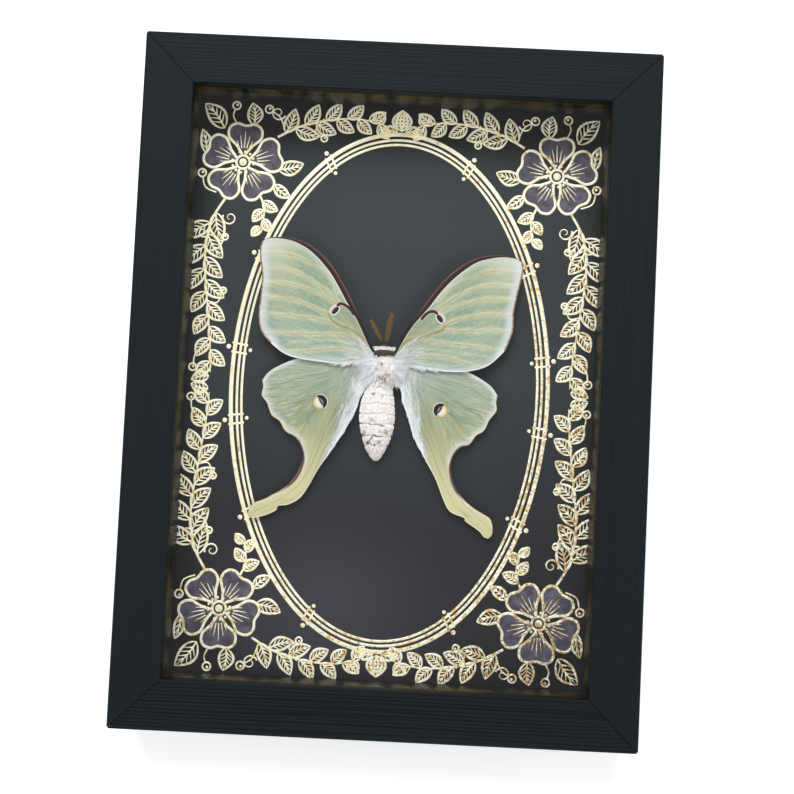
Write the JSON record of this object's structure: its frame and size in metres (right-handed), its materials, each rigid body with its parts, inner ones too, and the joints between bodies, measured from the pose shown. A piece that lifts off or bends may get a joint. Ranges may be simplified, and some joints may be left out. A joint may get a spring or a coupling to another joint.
{
  "type": "framed moth specimen",
  "caption": "Spread luna moth mounted on a printed card behind glass in a mitred black wooden shadow-box frame, with a board back and a sawtooth hanger.",
  "frame": {"origin": "centre of the back of the frame, where it rests when it lies down", "axes": "+Z out through the glass, +Y to the top of the picture, +X to the picture's right"},
  "size_m": [0.1524, 0.2032, 0.028],
  "materials": {
    "black_painted_wood": "near-black matt paint over open grain",
    "clear_glass": "clear picture glass",
    "black_liner": "black satin-gloss strip",
    "charcoal_card": "soft-sheen charcoal card",
    "gold_foil": "pale gold hot-stamped foil",
    "brown_board": "smooth pressed hardboard",
    "steel": "bright zinc-plated steel",
    "green_wing": "powdery pale green wing scales",
    "white_fur": "dense white insect fur",
    "tan_feather": "tan feathery antennae"
  },
  "bodies": {
    "root": {"rail_top": "black_painted_wood", "rail_bottom": "black_painted_wood", "rail_left": "black_painted_wood", "rail_right": "black_painted_wood", "glass_pane": "clear_glass", "liner_top": "black_liner", "liner_bottom": "black_liner", "liner_left": "black_liner", "liner_right": "black_liner", "backing_card": "charcoal_card", "back_board": "brown_board", "tab_left_upper": "steel", "tab_left_lower": "steel", "tab_right_upper": "steel", "tab_right_lower": "steel", "tab_top": "steel", "tab_bottom": "steel", "hanger": "steel", "rivet_left": "steel", "rivet_right": "steel", "forewing_left": "green_wing", "forewing_right": "green_wing", "hindwing_left": "green_wing", "hindwing_right": "green_wing", "moth_body": "white_fur", "antenna_left": "tan_feather", "antenna_right": "tan_feather"}
  },
  "joints": []
}
